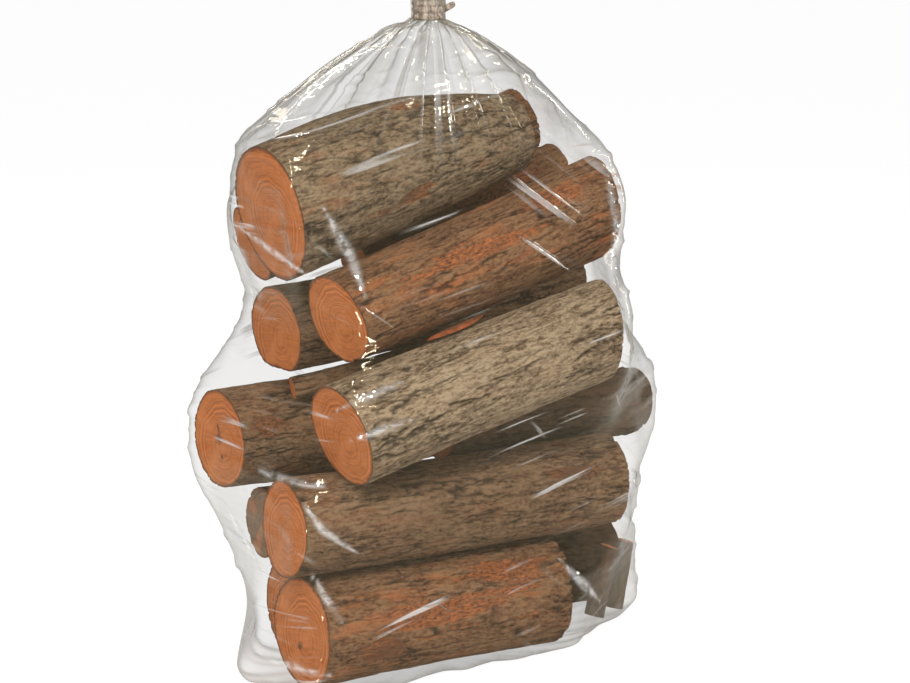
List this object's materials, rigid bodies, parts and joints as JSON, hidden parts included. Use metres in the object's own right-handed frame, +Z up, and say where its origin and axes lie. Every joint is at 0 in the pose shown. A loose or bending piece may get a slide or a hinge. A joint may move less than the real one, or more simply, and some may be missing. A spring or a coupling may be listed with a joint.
{
  "type": "firewood bundle",
  "caption": "Round hardwood firewood logs with bark and sawn orange ends, stacked crosswise in a clear film bag that stands on its flat bottom and is tied at a gathered neck.",
  "frame": {"origin": "on the ground, under the middle of the bundle's box", "axes": "+X along the logs, +Y from the front row to the back row, +Z up through the tied neck"},
  "size_m": [0.465, 0.2846, 0.64],
  "materials": {
    "log": "rough bark, sawn ends",
    "stick": "rough bark",
    "bark": "rough",
    "film": "clear glossy film",
    "tie": "crumpled strip"
  },
  "bodies": {
    "root": {"log_bottom_front": "log", "log_second_front": "log", "log_centre_front": "log", "log_upper_front": "log", "log_top_front": "log", "log_left_back": "log", "log_split_back": "log", "log_top_back": "log", "log_upper_right": "log", "log_right_back": "log", "log_second_back": "log", "log_bottom_back": "log", "split_stick": "stick", "short_stick_a": "stick", "short_stick_b": "stick", "bark_chip": "bark", "bag": "film", "neck_tie": "tie"}
  },
  "joints": []
}
